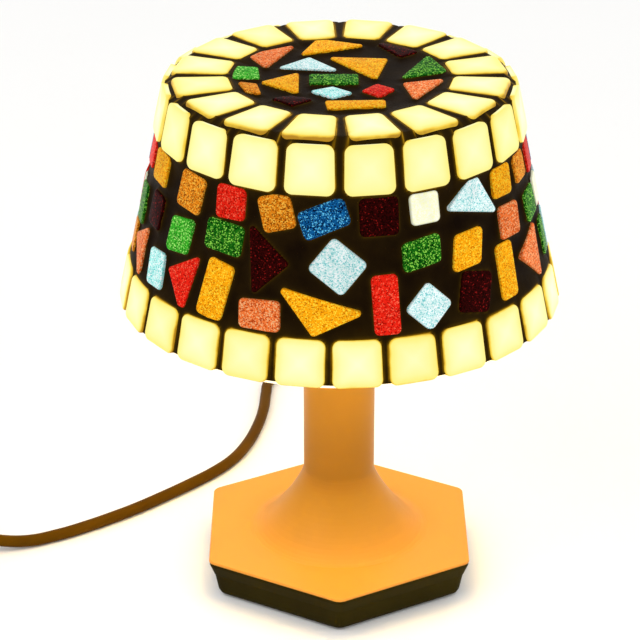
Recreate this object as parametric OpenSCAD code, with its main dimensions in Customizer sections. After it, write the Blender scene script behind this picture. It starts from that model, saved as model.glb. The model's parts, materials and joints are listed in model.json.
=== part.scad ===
// Mosaic glass table lamp: hexagonal foot with a flared stem, a drum shade of
// bedded glass tiles that lifts off, a screw-in bulb and a mains lead with an
// inline rocker switch. Millimetres, origin on the table under the stem, +Z up,
// one corner of the foot towards -Y.

/* [Foot] */
// Radius from the foot's centre to a corner of the cover, before rounding
foot_r = 66.6; // [64:0.1:70]
// Rounding of the foot's corners seen from above
foot_corner = 4.6; // [3:0.1:6]
// Height of the cover's flat top
foot_top = 19; // [17.5:0.1:20]
// Thickness of the cover at its edge
cover_t = 2.1; // [1.8:0.1:2.6]
// Radius to a corner of the tray under the cover
tray_r = 63.8; // [62:0.1:65]
// Wall thickness of the tray, measured at a corner
tray_wall = 2.8; // [2.4:0.1:3.2]

/* [Stem] */
// Outer radius of the stem
stem_r = 15.7; // [15.6:0.1:17]
// Wall thickness of the stem
stem_wall = 2.8; // [2.4:0.1:2.9]
// Height of the stem's top rim
stem_top = 148; // [144:0.5:150]
// Height of the flare above the cover
flare_h = 31; // [28:0.1:40]
// Radius at which the flare meets the cover
flare_r = 40; // [36:0.1:44]

/* [Shade] */
// Outer radius of the glass at the open rim
rim_r = 91.3; // [88:0.1:94]
// Height of the open rim
rim_z = 134.5; // [132:0.5:137]
// Outer radius of the glass at its closed top
crown_r = 70.3; // [68:0.1:72]
// Height of the glass's closed top
crown_z = 231.5; // [230:0.5:234]
// Thickness of the glass
glass_t = 2.2; // [1.8:0.1:2.6]

/* [Mosaic] */
// Thickness of the mortar bed on the glass
bed_t = 1.2; // [0.8:0.1:1.6]
// Thickness of the pale border tiles above the bed
tile_t = 2.8; // [2:0.1:3.4]
// Thickness of the coloured pieces above the bed
chip_t = 2.2; // [1.6:0.1:2.8]
// How far tiles and pieces sink into the bed
sink = 0.3; // [0.1:0.05:0.5]
// Corner rounding of the border tiles
tile_corner = 3.2; // [2:0.1:4]
// Corner rounding of the three-sided pieces
chip_corner = 1.3; // [1:0.1:2]
// Corner rounding of the four-sided pieces on the side
quad_corner = 2.2; // [1.2:0.1:2.5]
// Number of tiles around the flat top
crown_tiles_n = 16; // [16:1:16]
// Number of tiles around the shoulder
shoulder_tiles_n = 20; // [20:1:20]
// Number of tiles around the open rim
rim_tiles_n = 25; // [25:1:25]

/* [Lamp holder and bulb] */
// Inner radius of the screw shell
shell_r = 6.95; // [6.9:0.01:7]
// Height of the holder's rim
holder_top = 163; // [160:0.5:165]
// Outer radius of the bulb's screw cap
cap_r = 6.6; // [6.5:0.01:6.65]
// Radius of the bulb's globe
globe_r = 22.5; // [20:0.5:22.5]
// Overall height of the bulb
bulb_h = 78; // [76:0.5:78]

/* [Lead, switch and plug] */
// Diameter of the lead
lead_d = 5.5; // [5.2:0.1:5.6]
// Length of the inline switch
switch_l = 60; // [58:1:60]
// Width of the inline switch
switch_w = 24; // [23:0.5:26]
// Height of the inline switch's casing
switch_h = 15; // [14.5:0.5:16]
// Half of the rocker's tilt between off and on
rocker_tilt = 9; // [6:0.5:9]
// Radius of the plug's pins
pin_r = 2.0; // [2:0.1:2]
// Distance between the plug's pins
pin_gap = 18.6; // [18.6:0.1:18.6]

/* [Hidden] */

$fn = 64;
eps = 0.01;
gap = 0.1;

// Foot
pad_t = 1.6;
pad_r = 57;
tray_z = 0.8;
tray_floor = 3.4;
tray_shoulder = 11.4;
tray_draft = 1.8;
cover_z = foot_top - cover_t;
inner_r = tray_r - tray_wall;
edge_round = 0.7;
// Step in the cover's edge that the tray's lip fills
lip_w = 1.6;
lip_z = foot_top - 1;
post_r = 3.6;
post_at = 50;
post_z = 6.4;
post_angles = [30, 150, 270];
screw_shank = 1.4;
screw_head = 2.9;
ballast_r = 44;
ballast_hole = 19;
ballast_h = 6;
ballast_screw_at = 32;
ballast_angles = [200, 270, 340];

// Stem, and the ends of the flare's curve
bore_r = stem_r - stem_wall;
flare_top = foot_top + flare_h;
flare_bend = foot_top + 25;
flare_steps = 18;

// Shade
shade_slope = (rim_r - crown_r) / (crown_z - rim_z);
lean = atan(shade_slope);
glass_dr = glass_t / cos(lean);
ring_wire = 1.6;
ring_gap = 0.35;

// Holder and bulb
flange_t = 2.2;
hub_z = stem_top + flange_t;
hub_t = 1.8;
hub_r = 20;
ring_z = hub_z + hub_t / 2;
skirt_r = 13.8;
socket_r = 7.7;
mouth_r = 10.6;
plug_depth_z = 118;
insert_z = 127;
contact_z = 136.8;
tip_z = 138;
cap_top = 161;
globe_z = tip_z + bulb_h - globe_r;
neck_z = 183;

// Lead: height of its exit, of its centre on the table, and the coil's lie
exit_y = 88;
exit_z = 6.2;
lead_r = lead_d / 2;
tray_flat_y = 60.5;
coil_at = [-276, 48.5];
coil_mid_r = 30.4;
coil_turns = 3.25;
coil_pitch = 5.6;
coil_z = 0.4;
coil_h = 11.2;
coil_gap = 0.05;
switch_at = [-200, 9];
switch_split = 8;
rocker_z = 12.6;
plug_at = [-232, 147];
plug_h = 13.7;
plug_z = plug_h / 2;
plug_l = 24;
pin_l = 19;
pin_root = 14;
pin_root_r = 1.6;

// Route of the lead from the strain relief to the switch
LEAD_ROUTE = [
    [0, 88, 6.2], [0, 100, 5.4], [0, 112, 3.8], [2, 124, 2.9], [5, 137, 2.8],
    [7, 150, 2.8], [8, 162, 2.8], [7, 173, 2.8], [2, 183, 2.8], [-6, 189, 2.8],
    [-15, 191, 2.8], [-24, 189, 2.8], [-31, 183, 2.8], [-35, 174, 2.8],
    [-36, 162, 2.8], [-37, 144, 2.8], [-40, 124, 2.8], [-45, 105, 2.8],
    [-51, 91, 2.8], [-60, 78, 2.8], [-70, 67, 2.8], [-83, 54, 2.8],
    [-96, 42, 2.8], [-106, 34, 2.8], [-117, 26, 2.8], [-130, 18, 2.8],
    [-143, 12, 3.2], [-156, 9, 5.2], [-170, 9, 8]
];
// From the switch to the coil, and from the coil to the plug
TAIL_ROUTE = [[-230, 9, 8], [-243, 9, 5.6], [-256, 9, 3.6], [-270, 9, 3.2]];
END_ROUTE = [
    [-270, 88, 8.7], [-260, 88.5, 8.2], [-250, 91, 7.6], [-241, 97, 7.2],
    [-235, 106, 6.9], [-232, 118, 6.9], [-232, 133, 6.9]
];

// Mosaic pattern of the front half: colour, turn from the front and height of
// the piece's middle, then its outline about that middle: [width, height,
// turn, slant] for a four-sided piece or three corners for a triangle
FRONT = [
    ["red", -82, 206, [12, 15, 4, 0]],
    ["amber", -69, 205, [15, 15, 0, 0]],
    ["orange", -50, 203, [15, 16, -6, 0]],
    ["red", -34, 205, [14, 15, 3, 0]],
    ["orange", -19, 204, [14, 15, 17, 0]],
    ["blue", -5, 203, [20, 12, 24, 1]],
    ["maroon", 11, 204, [16, 17, 0, 0]],
    ["cream", 25, 205, [13, 14, 1, 0]],
    ["ice", 42, 203, [[3, 11], [-15, -1], [13, -9]]],
    ["amber", 56, 206, [14, 15, -4, 0]],
    ["orange", 69, 206, [12, 14, 3, 0]],
    ["red", 81, 204, [11, 14, -3, 0]],
    ["green", -82, 182, [14, 17, 8, 0]],
    ["maroon", -67, 187, [12, 15, -5, 0]],
    ["leaf", -52, 184, [15, 15, 8, 4]],
    ["green", -35, 190, [18, 13, -3, 0]],
    ["maroon", -21, 184, [[-8.6, 15.1], [9.7, 0], [-5.4, -15.1]]],
    ["ice", -1, 184, [17, 18, 51, 0]],
    ["green", 23, 187, [17, 12, 9, 2]],
    ["amber", 38, 184, [15, 15, 4, 4]],
    ["coral", 57, 188, [15, 14, -4, 0]],
    ["green", 73, 187, [14, 13, 6, 0]],
    ["coral", -75, 165, [[-8.6, 4.3], [7.6, 13], [6.5, -13]]],
    ["cyan", -61, 165, [13, 16, 3, 0]],
    ["red", -48, 167, [[8.6, 13], [-9.7, 2.2], [2.2, -15.1]]],
    ["amber", -36, 168, [13, 25, -10, 0]],
    ["coral", -22, 162, [18, 13, 4, 0]],
    ["amber", -6, 166, [[-17.3, 9.7], [19.4, 0], [-2.2, -10.8]]],
    ["red", 12, 168, [11, 25, 2, 0]],
    ["ice", 24, 165, [15, 15, 45, 0]],
    ["maroon", 39, 166, [16, 17, -14, 0]],
    ["amber", 52, 169, [11, 24, 0, 0]],
    ["coral", 67, 168, [[-13, 3.2], [7.6, 11.9], [6.5, -13]]],
    ["green", 81, 168, [9, 17, 5, 0]]
];
// Pieces that fill the seams between the two halves
SEAM = [
    ["blue", 90, 204, [10, 14, 3, 0]],
    ["cream", 84, 187, [13, 13, -3, 0]],
    ["ice", 96.2, 186, [13, 14, 4, 0]],
    ["cyan", 90, 166, [14, 15, 4, 0]],
    ["blue", -90, 204, [7, 14, 0, 0]],
    ["cream", -90, 184, [5.5, 14, 0, 0]],
    ["orange", -85.8, 165, [11, 14, 3, 0]],
    ["cyan", -94.4, 165, [11, 13, -4, 0]]
];
// The back half repeats the front mirrored, with the colours changed about
SWAP = [
    ["amber", "coral"], ["coral", "amber"], ["orange", "leaf"], ["leaf", "orange"],
    ["red", "green"], ["green", "red"], ["maroon", "maroon"], ["blue", "ice"],
    ["ice", "blue"], ["cyan", "cream"], ["cream", "cyan"]
];
// Pieces on the flat top: colour and corners
CROWN = [
    ["coral", [[-40, 26.4], [-18.4, 39], [-31.3, 9.6]]],
    ["amber", [[-9.7, 46.4], [11.9, 38], [-17.3, 25.4]]],
    ["maroon", [[16.2, 40], [22.7, 43.2], [35.6, 31.6], [25.9, 23.2]]],
    ["ice", [[-27, 9.6], [-13, 23.2], [0, 6.5]]],
    ["amber", [[-5.4, 23.2], [20.5, 21.1], [15.1, -4.1]]],
    ["green", [[24.8, -3], [37.8, 26.4], [45.4, 5.4]]],
    ["leaf", [[-46.4, 12.8], [-34.6, 10.7], [-33.5, -3], [-45.4, -3]]],
    ["amber", [[-33.5, -7.2], [-17.3, 4.4], [-17.3, -20.9]]],
    ["green", [[-13, 2.2], [7.6, 2.2], [7.6, -9.3], [-13, -9.3]]],
    ["cyan", [[-13, -17.7], [-3.2, -12.5], [5.4, -19.8], [-3.2, -26.1]]],
    ["red", [[8.6, -17.7], [15.1, -9.3], [22.7, -15.6], [16.2, -25.1]]],
    ["coral", [[25.9, -8.2], [44.3, -3], [30.2, -28.2]]],
    ["maroon", [[-29.2, -26.1], [-20.5, -23], [-10.8, -27.2], [-19.4, -34.5]]],
    ["amber", [[-6.5, -29.2], [18.4, -28.2], [18.4, -35.6], [-5.4, -38.7]]],
    ["orange", [[-43.2, -6.2], [-34.6, -9.3], [-32.4, -21.9], [-38.9, -18.8]]]
];

// ---- shared shapes ----------------------------------------------------------

// Hexagon with a corner towards -Y and rounded corners
module hexagon(r) {
    offset(r = foot_corner, $fn = 32)
        rotate(30)
            circle(r - foot_corner / cos(30), $fn = 6);
}

module hex_prism(r, z0, z1) {
    translate([0, 0, z0])
        linear_extrude(z1 - z0)
            hexagon(r);
}

// Solid through a list of [radius, height] hexagons, convex from end to end
module hex_stack(levels) {
    hull()
        for (l = levels)
            hex_prism(l[0], l[1], l[1] + eps);
}

module rod(r, z0, z1) {
    translate([0, 0, z0])
        cylinder(r = r, h = z1 - z0);
}

module tube(r_out, r_in, z0, z1) {
    difference() {
        rod(r_out, z0, z1);
        rod(r_in, z0 - 1, z1 + 1);
    }
}

module at_angles(angles, r) {
    for (a = angles)
        rotate(a)
            translate([r, 0, 0])
                rotate(-a)
                    children();
}

// Pan-head screw standing on its head, threads left plain
module screw(head_r, head_h, shank_r, length) {
    difference() {
        rod(head_r, 0, head_h);
        translate([-head_r * 0.6, -0.4, -1])
            cube([head_r * 1.2, 0.8, 1 + head_h * 0.4]);
        translate([-0.4, -head_r * 0.6, -1])
            cube([0.8, head_r * 1.2, 1 + head_h * 0.4]);
    }
    rod(shank_r, head_h, head_h + length);
}

// Point on a cubic curve through four control points
function curve(p, t) =
    pow(1 - t, 3) * p[0] + 3 * pow(1 - t, 2) * t * p[1]
    + 3 * (1 - t) * t * t * p[2] + pow(t, 3) * p[3];

// Eight-sided tube swept along a route that never runs along 'across'
function unit(v) = v / norm(v);
function heading(p, i) = unit(p[min(i + 1, len(p) - 1)] - p[max(i - 1, 0)]);
function tube_ring(p, i, r, across) =
    let (t = heading(p, i), s = unit(cross(t, across)), u = cross(s, t))
    [for (k = [0:7]) p[i] + r * (cos(45 * k + 22.5) * s + sin(45 * k + 22.5) * u)];

module sweep(p, r, across = [0, 0, 1]) {
    last = 8 * (len(p) - 1);
    polyhedron(
        points = [for (i = [0:len(p) - 1]) each tube_ring(p, i, r, across)],
        faces = concat(
            [[for (k = [0:7]) 7 - k]],
            [for (i = [0:len(p) - 2], k = [0:7])
                [8 * i + k, 8 * i + (k + 1) % 8, 8 * i + 8 + (k + 1) % 8, 8 * i + 8 + k]],
            [[for (k = [0:7]) last + k]]
        )
    );
}

// ---- foot and stem ----------------------------------------------------------

function flare_curve(inset) = [
    for (k = [0:flare_steps])
        curve([
            [stem_r - inset, flare_top],
            [stem_r - inset, flare_bend - inset],
            [flare_r - 8 - inset, foot_top - inset],
            [flare_r - inset, foot_top - inset]
        ], k / flare_steps)
];

module stem_outline(inset, top, bottom) {
    polygon(concat(
        [[0, top], [stem_r - inset, top]],
        flare_curve(inset),
        [[flare_r - inset, bottom], [0, bottom]]
    ));
}

module stem_cover() {
    color([1, 0.7, 0.26]) {
        difference() {
            union() {
                hex_stack(concat([[foot_r, lip_z]], [for (a = [0:30:90])
                    [foot_r - edge_round * (1 - cos(a)),
                     foot_top - edge_round * (1 - sin(a)) - eps * sin(a)]]));
                hex_prism(foot_r - lip_w, cover_z, lip_z);
                rotate_extrude($fn = 96)
                    stem_outline(0, stem_top, cover_z);
            }
            rotate_extrude($fn = 96)
                stem_outline(stem_wall, stem_top + 1, cover_z - 1);
            translate([0, stem_r, 141])
                rotate([90, 0, 0])
                    cylinder(r = 1.5, h = 2 * stem_wall + 1, center = true, $fn = 24);
        }
        difference() {
            hex_prism(inner_r - gap, cover_z - 2, cover_z);
            hex_prism(inner_r - 2, cover_z - 3, cover_z + 1);
        }
        at_angles(post_angles, post_at)
            tube(post_r, screw_shank + 0.05, post_z, cover_z);
    }
}

module foot_tray() {
    color([0.17, 0.14, 0.03])
        difference() {
            union() {
                hex_stack([[tray_r - tray_draft - 2.2, tray_z],
                           [tray_r - tray_draft - 0.9, tray_z + 0.8],
                           [tray_r - tray_draft, tray_z + 2.4], [tray_r, tray_shoulder]]);
                hex_stack([[tray_r + 0.3, tray_shoulder], [foot_r - 0.4, cover_z - 0.6],
                           [foot_r - 0.3, cover_z - eps]]);
                difference() {
                    hex_prism(foot_r - 0.4, cover_z - 0.3, lip_z - eps);
                    hex_prism(foot_r - lip_w + gap, cover_z - eps, lip_z);
                }
            }
            difference() {
                hex_stack([[inner_r - tray_draft, tray_floor], [inner_r, tray_shoulder],
                           [inner_r, cover_z + 1]]);
                at_angles(post_angles, post_at)
                    rod(post_r + 1.4, tray_z, post_z);
                at_angles(ballast_angles, ballast_screw_at)
                    rod(3, tray_z, tray_floor + 1);
            }
            hex_prism(pad_r + gap, tray_z - 1, pad_t);
            at_angles(post_angles, post_at) {
                rod(screw_shank + 0.3, 0, post_z + 1);
                rod(screw_head + 0.3, 0, 4.4);
            }
            at_angles(ballast_angles, ballast_screw_at)
                rod(screw_shank - 0.1, pad_t + 0.6, tray_floor + 2);
            translate([-20, tray_flat_y, -1])
                cube([40, 20, 1 + tray_shoulder]);
            translate([0, 50, exit_z])
                rotate([-90, 0, 0])
                    cylinder(r = 3.9, h = 20);
        }
}

module floor_pad() {
    color([0.12, 0.12, 0.12])
        hex_prism(pad_r, 0, pad_t);
}

module foot_screws() {
    color([0.75, 0.75, 0.78])
        at_angles(post_angles, post_at)
            translate([0, 0, 2.2])
                screw(screw_head, 2.2, screw_shank, 9);
}

module ballast_plate() {
    z0 = tray_floor + 1;
    color([0.35, 0.36, 0.38])
        difference() {
            tube(ballast_r, ballast_hole, z0, z0 + ballast_h);
            translate([-9, 0, 0])
                cube([18, ballast_r + 1, 20]);
            at_angles(ballast_angles, ballast_screw_at)
                rod(screw_shank + 0.3, 0, 20);
        }
}

module ballast_screws() {
    head_h = 1.8;
    top = tray_floor + 1 + ballast_h + head_h;
    color([0.75, 0.75, 0.78])
        at_angles(ballast_angles, ballast_screw_at)
            translate([0, 0, top])
                mirror([0, 0, 1])
                    screw(2.6, head_h, screw_shank - 0.15, ballast_h + 1.6);
}

// ---- entry of the lead ------------------------------------------------------

// Sleeve through the tray's back corner that tapers along the lead
module cord_relief() {
    bore = lead_r + 0.05;
    color([0.3, 0.17, 0.05])
        difference() {
            translate([0, 0, exit_z])
                rotate([-90, 0, 0])
                    rotate_extrude($fn = 48)
                        polygon([
                            [bore, 52], [5.4, 52], [5.4, 54], [3.85, 54],
                            [3.85, tray_flat_y], [4.8, tray_flat_y],
                            [4.8, tray_flat_y + 1.6], [4.4, tray_flat_y + 2.4],
                            [3.5, exit_y + 1], [3.2, exit_y + 2], [bore, exit_y + 2]
                        ]);
            // Flat under the inner collar, which rests on the tray's floor
            translate([-6, 51, 0])
                cube([12, 3, tray_floor + gap]);
        }
}

module cord_inside() {
    color([0.3, 0.17, 0.05])
        translate([0, 30, exit_z])
            rotate([-90, 0, 0])
                cylinder(r = lead_r, h = exit_y - 30 - eps, $fn = 24);
}

// Saddle that holds the lead down on the tray's floor
module cord_clamp() {
    top = exit_z + lead_r + 1.6;
    color([0.9, 0.9, 0.88])
        difference() {
            union() {
                translate([-4.6, 38, tray_floor])
                    cube([9.2, 6, top - tray_floor]);
                translate([-8.6, 38, tray_floor])
                    cube([17.2, 6, 2.4]);
            }
            translate([0, 37, exit_z])
                rotate([-90, 0, 0])
                    cylinder(r = lead_r + 0.05, h = 8, $fn = 24);
            translate([-lead_r - 0.05, 37, tray_floor - 1])
                cube([lead_d + 0.1, 8, exit_z - tray_floor + 1]);
            for (x = [-6.6, 6.6])
                translate([x, 41, 0])
                    rod(0.95, tray_floor - 1, 12);
        }
}

module clamp_screws() {
    color([0.75, 0.75, 0.78])
        for (x = [-6.6, 6.6])
            translate([x, 41, tray_floor + 4])
                mirror([0, 0, 1])
                    screw(1.7, 1.6, 0.9, 3.3);
}

module wire(x) {
    sweep([[x, 29.8, exit_z], [x * 1.6, 20, 7], [x * 2, 12, 9], [x * 2.6, 6, 14],
           [x * 2.6, 4, 24], [x * 2.6, 4, 70], [x * 2.6, 4, 124]], 1, [1, 0, 0]);
}

module wire_live() {
    color([0.35, 0.18, 0.08])
        wire(1.3);
}

module wire_neutral() {
    color([0.1, 0.25, 0.7])
        wire(-1.3);
}

// ---- lamp holder ------------------------------------------------------------

module holder_body() {
    color([0.93, 0.92, 0.88])
        difference() {
            union() {
                rod(bore_r - 0.2, plug_depth_z, stem_top);
                rod(stem_r, stem_top, stem_top + flange_t);
                rod(skirt_r, stem_top + flange_t, holder_top);
            }
            rod(socket_r, insert_z, holder_top + 1);
            rod(mouth_r, cap_top - 0.7, holder_top + 1);
            for (x = [-1, 1])
                translate([x * 3.4, 4, 0])
                    rod(1.5, plug_depth_z - 1, insert_z + 1);
            translate([0, bore_r, 141])
                rotate([90, 0, 0])
                    cylinder(r = 1.3, h = 5, center = true, $fn = 24);
        }
}

module holder_insert() {
    color([0.95, 0.94, 0.9])
        difference() {
            rod(socket_r - gap, insert_z, insert_z + 8.8);
            for (x = [-1, 1])
                translate([x * 3.4, 4, 0])
                    rod(1.5, insert_z - 1, insert_z + 10);
        }
}

module holder_shell() {
    color([0.85, 0.68, 0.35])
        tube(socket_r - gap, shell_r, 142, 160);
}

module holder_contact() {
    color([0.85, 0.68, 0.35])
        translate([-5, -2, contact_z - 1])
            cube([10, 3.6, tip_z - contact_z + 1 - 0.3]);
}

module holder_terminals() {
    color([0.85, 0.68, 0.35])
        for (x = [-1, 1])
            translate([x * 3.4, 4, 0])
                tube(1.4, 1.05, 118.2, 126);
}

module holder_grub_screw() {
    color([0.6, 0.6, 0.62])
        translate([0, stem_r - 0.3, 141])
            rotate([90, 0, 0])
                cylinder(r = 1.25, h = 4.6, $fn = 24);
}

// ---- shade carrier ----------------------------------------------------------

module carrier_hub() {
    color([0.8, 0.8, 0.8])
        tube(hub_r, skirt_r + 0.3, hub_z, hub_z + hub_t);
}

ring_r = rim_r - (ring_z - rim_z) * shade_slope - glass_dr - ring_wire / cos(lean) - ring_gap;

module carrier_arms() {
    color([0.8, 0.8, 0.8])
        for (a = [90, 210, 330])
            rotate(a)
                translate([hub_r - eps, 0, ring_z])
                    rotate([0, 90, 0])
                        cylinder(r = 1.3, h = ring_r - hub_r - ring_wire + 0.3, $fn = 24);
}

module carrier_ring() {
    color([0.8, 0.8, 0.8])
        translate([0, 0, ring_z])
            rotate_extrude($fn = 96)
                translate([ring_r, 0])
                    circle(ring_wire, $fn = 24);
}

module ring_nut() {
    z0 = hub_z + hub_t;
    color([0.93, 0.92, 0.88])
        difference() {
            tube(18.5, skirt_r + 0.1, z0, z0 + 6);
            for (a = [0:30:330])
                rotate(a)
                    translate([18.9, 0, 0])
                        rod(1, z0 - 1, z0 + 7);
        }
}

// ---- shade ------------------------------------------------------------------

function glass_at(z) = rim_r - (z - rim_z) * shade_slope;

// Puts a flat outline on the shade's side: x to the right, y up the slope
module on_side(turn, z, lift, t) {
    rotate(turn)
        translate([0, -glass_at(z), z])
            rotate([90 - lean, 0, 0])
                translate([0, 0, lift])
                    linear_extrude(t)
                        children();
}

module shade_glass() {
    color([0.97, 0.95, 0.88])
        rotate_extrude($fn = 128)
            polygon([
                [0, crown_z], [crown_r - 1, crown_z], [crown_r, crown_z - 1],
                [rim_r, rim_z], [rim_r - glass_dr, rim_z],
                [crown_r - glass_dr, crown_z - glass_t], [0, crown_z - glass_t]
            ]);
}

module mortar_bed() {
    bed_dr = bed_t / cos(lean);
    foot_z = rim_z + 0.9;
    color([0.16, 0.11, 0.03])
        rotate_extrude($fn = 128)
            polygon([
                [0, crown_z + 0.02], [crown_r - 0.98, crown_z + 0.02],
                [crown_r + 0.02, crown_z - 0.98],
                [glass_at(foot_z) + 0.02, foot_z], [glass_at(foot_z) + bed_dr, foot_z],
                [crown_r + bed_dr, crown_z - 0.4], [crown_r, crown_z + bed_t],
                [0, crown_z + bed_t]
            ]);
}

// Small repeatable unevenness of hand-cut tiles, from -1 to 1
function uneven(k) = 2 * (abs(sin(k * 7823.3) * 437.58) % 1) - 1;

module soft_polygon(points, r) {
    offset(r = r, $fn = 20)
        offset(delta = -r)
            polygon(points);
}

function four_sided(w_low, w_high, h, slant) = [
    [-w_low / 2 - slant / 2, -h / 2], [w_low / 2 - slant / 2, -h / 2],
    [w_high / 2 + slant / 2, h / 2], [-w_high / 2 + slant / 2, h / 2]
];

module crown_tiles() {
    color([1, 0.97, 0.7])
        for (k = [0:crown_tiles_n - 1])
            rotate((k + 0.5) * 360 / crown_tiles_n)
                translate([0, -58.4 - 0.3 * uneven(k), crown_z + bed_t - sink])
                    rotate(uneven(k + 5))
                        linear_extrude(tile_t + sink)
                            soft_polygon(four_sided(22.7 + 0.4 * uneven(k + 9), 16,
                                                    24.2, 0), tile_corner);
}

module side_tiles(n, first, z, w_low, w_high, h, seed) {
    color([1, 0.97, 0.7])
        for (k = [0:n - 1])
            on_side(first + k * 360 / n, z, bed_t - sink, tile_t + sink)
                rotate(uneven(k + seed))
                    soft_polygon(four_sided(w_low + 0.5 * uneven(k + seed + 3),
                                            w_high + 0.5 * uneven(k + seed + 7),
                                            h + 0.4 * uneven(k + seed + 11), 0),
                                 tile_corner);
}

module shoulder_tiles() {
    side_tiles(shoulder_tiles_n, -9.5, 222.1, 20.4, 18.8, 20.4, 20);
}

module rim_tiles() {
    side_tiles(rim_tiles_n, 4.1, 144.9, 20.6, 19.8, 19.8, 60);
}

// Heights between which the coloured pieces lie
band_low = 155.9;
band_top = 211.1;
// Radius within which the coloured pieces of the flat top lie
crown_field_r = 45.2;

// Outline of a piece whose middle is at height z, from a [width, height, turn,
// slant] or from its corners, cut off where the border tiles begin
module chip_outline(o, z) {
    low = (band_low - z) / cos(lean);
    high = (band_top - z) / cos(lean);
    corner = len(o) == 3 ? chip_corner : quad_corner;
    offset(r = corner, $fn = 20)
        offset(delta = -corner)
            intersection() {
                if (len(o) == 3)
                    polygon(o);
                else
                    rotate(o[2])
                        polygon(four_sided(o[0], o[0], o[1], o[3]));
                translate([-30, low])
                    square([60, high - low]);
            }
}

// Outline of a piece on the flat top, cut off where the border tiles begin
module soft_crown_piece(corners) {
    offset(r = chip_corner, $fn = 20)
        offset(delta = -chip_corner)
            intersection() {
                polygon(corners);
                circle(crown_field_r, $fn = 64);
            }
}

function swapped(c) = [for (s = SWAP) if (s[0] == c) s[1]][0];

// All pieces of one colour, on both halves, the seams and the flat top
module chips(name, rgb) {
    lift = bed_t - sink;
    t = chip_t + sink;
    color(rgb) {
        for (p = FRONT) {
            if (p[0] == name)
                on_side(p[1], p[2], lift, t)
                    chip_outline(p[3], p[2]);
            if (swapped(p[0]) == name)
                on_side(180 - p[1], p[2], lift, t)
                    mirror([1, 0, 0])
                        chip_outline(p[3], p[2]);
        }
        for (p = SEAM)
            if (p[0] == name)
                on_side(p[1], p[2], lift, t)
                    chip_outline(p[3], p[2]);
        for (p = CROWN)
            if (p[0] == name)
                translate([0, 0, crown_z + lift])
                    linear_extrude(t)
                        soft_crown_piece(p[1]);
    }
}

module chips_amber() { chips("amber", [0.95, 0.6, 0.1]); }
module chips_orange() { chips("orange", [0.75, 0.35, 0.05]); }
module chips_coral() { chips("coral", [0.9, 0.35, 0.15]); }
module chips_red() { chips("red", [0.75, 0.08, 0.05]); }
module chips_maroon() { chips("maroon", [0.22, 0.03, 0.02]); }
module chips_green() { chips("green", [0.03, 0.35, 0.06]); }
module chips_leaf() { chips("leaf", [0.15, 0.6, 0.12]); }
module chips_blue() { chips("blue", [0.05, 0.3, 0.6]); }
module chips_ice() { chips("ice", [0.7, 0.92, 0.9]); }
module chips_cyan() { chips("cyan", [0.5, 0.9, 0.85]); }
module chips_cream() { chips("cream", [0.95, 0.97, 0.75]); }

// ---- bulb -------------------------------------------------------------------

module bulb_tip() {
    color([0.8, 0.8, 0.8])
        rod(2.4, tip_z, tip_z + 1.4);
}

module bulb_insulator() {
    color([0.08, 0.08, 0.08])
        translate([0, 0, tip_z + 1.4])
            cylinder(r1 = 3, r2 = cap_r, h = 2);
}

module bulb_cap() {
    z0 = tip_z + 3.4;
    color([0.82, 0.8, 0.76])
        tube(cap_r, cap_r - 0.6, z0, cap_top);
}

module bulb_housing() {
    color([0.97, 0.97, 0.95])
        rotate_extrude($fn = 96)
            polygon([
                [cap_r - 0.65, cap_top - 4], [cap_r - 0.65, cap_top + 0.1],
                [8.4, cap_top + 0.1], [9.4, cap_top + 4], [15, cap_top + 13],
                [20.2, neck_z], [20.2, neck_z + 0.6], [16.6, neck_z + 0.6],
                [16.6, neck_z - 1], [13, cap_top + 13], [cap_r - 2.4, cap_top + 5],
                [cap_r - 2.4, cap_top - 4]
            ]);
}

module bulb_board() {
    color([0.9, 0.92, 0.9])
        rod(16.4, neck_z - 0.8, neck_z + 0.4);
}

module bulb_leds() {
    color([1, 0.9, 0.4])
        for (a = [0:45:315])
            rotate(a)
                translate([9.5, -1.5, neck_z + 0.4])
                    cube([3, 3, 0.9]);
}

module bulb_globe() {
    cut = neck_z + 0.6;
    color([1, 0.99, 0.94])
        difference() {
            translate([0, 0, globe_z])
                sphere(globe_r, $fn = 96);
            translate([0, 0, globe_z])
                sphere(globe_r - 1.2, $fn = 96);
            translate([-30, -30, cut - 40])
                cube([60, 60, 40]);
        }
}

// ---- inline switch ----------------------------------------------------------

module switch_block(z0, z1, inset) {
    translate([switch_at[0], switch_at[1], z0])
        linear_extrude(z1 - z0)
            offset(r = 6 - inset, $fn = 32)
                square([switch_l - 12, switch_w - 12], center = true);
}

module lead_hole() {
    translate([switch_at[0], switch_at[1], switch_split])
        rotate([0, 90, 0])
            cylinder(r = lead_r + 0.1, h = switch_l + 10, center = true, $fn = 24);
}

// The two screws sit beside the rocker, one at each end
module at_switch_screws() {
    for (s = [-1, 1])
        translate([switch_at[0] + s * 20, switch_at[1] + s * 7, 0])
            children();
}

module switch_lower() {
    color([0.2, 0.12, 0.05])
        difference() {
            hull() {
                switch_block(0, 1, 1.5);
                switch_block(1.5, switch_split, 0);
            }
            difference() {
                switch_block(1.8, switch_split + 1, 1.8);
                at_switch_screws()
                    rod(3, 0, switch_split);
            }
            at_switch_screws() {
                rod(1.3, -1, switch_split + 1);
                rod(2.4, -1, 2.4);
            }
            lead_hole();
        }
}

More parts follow.
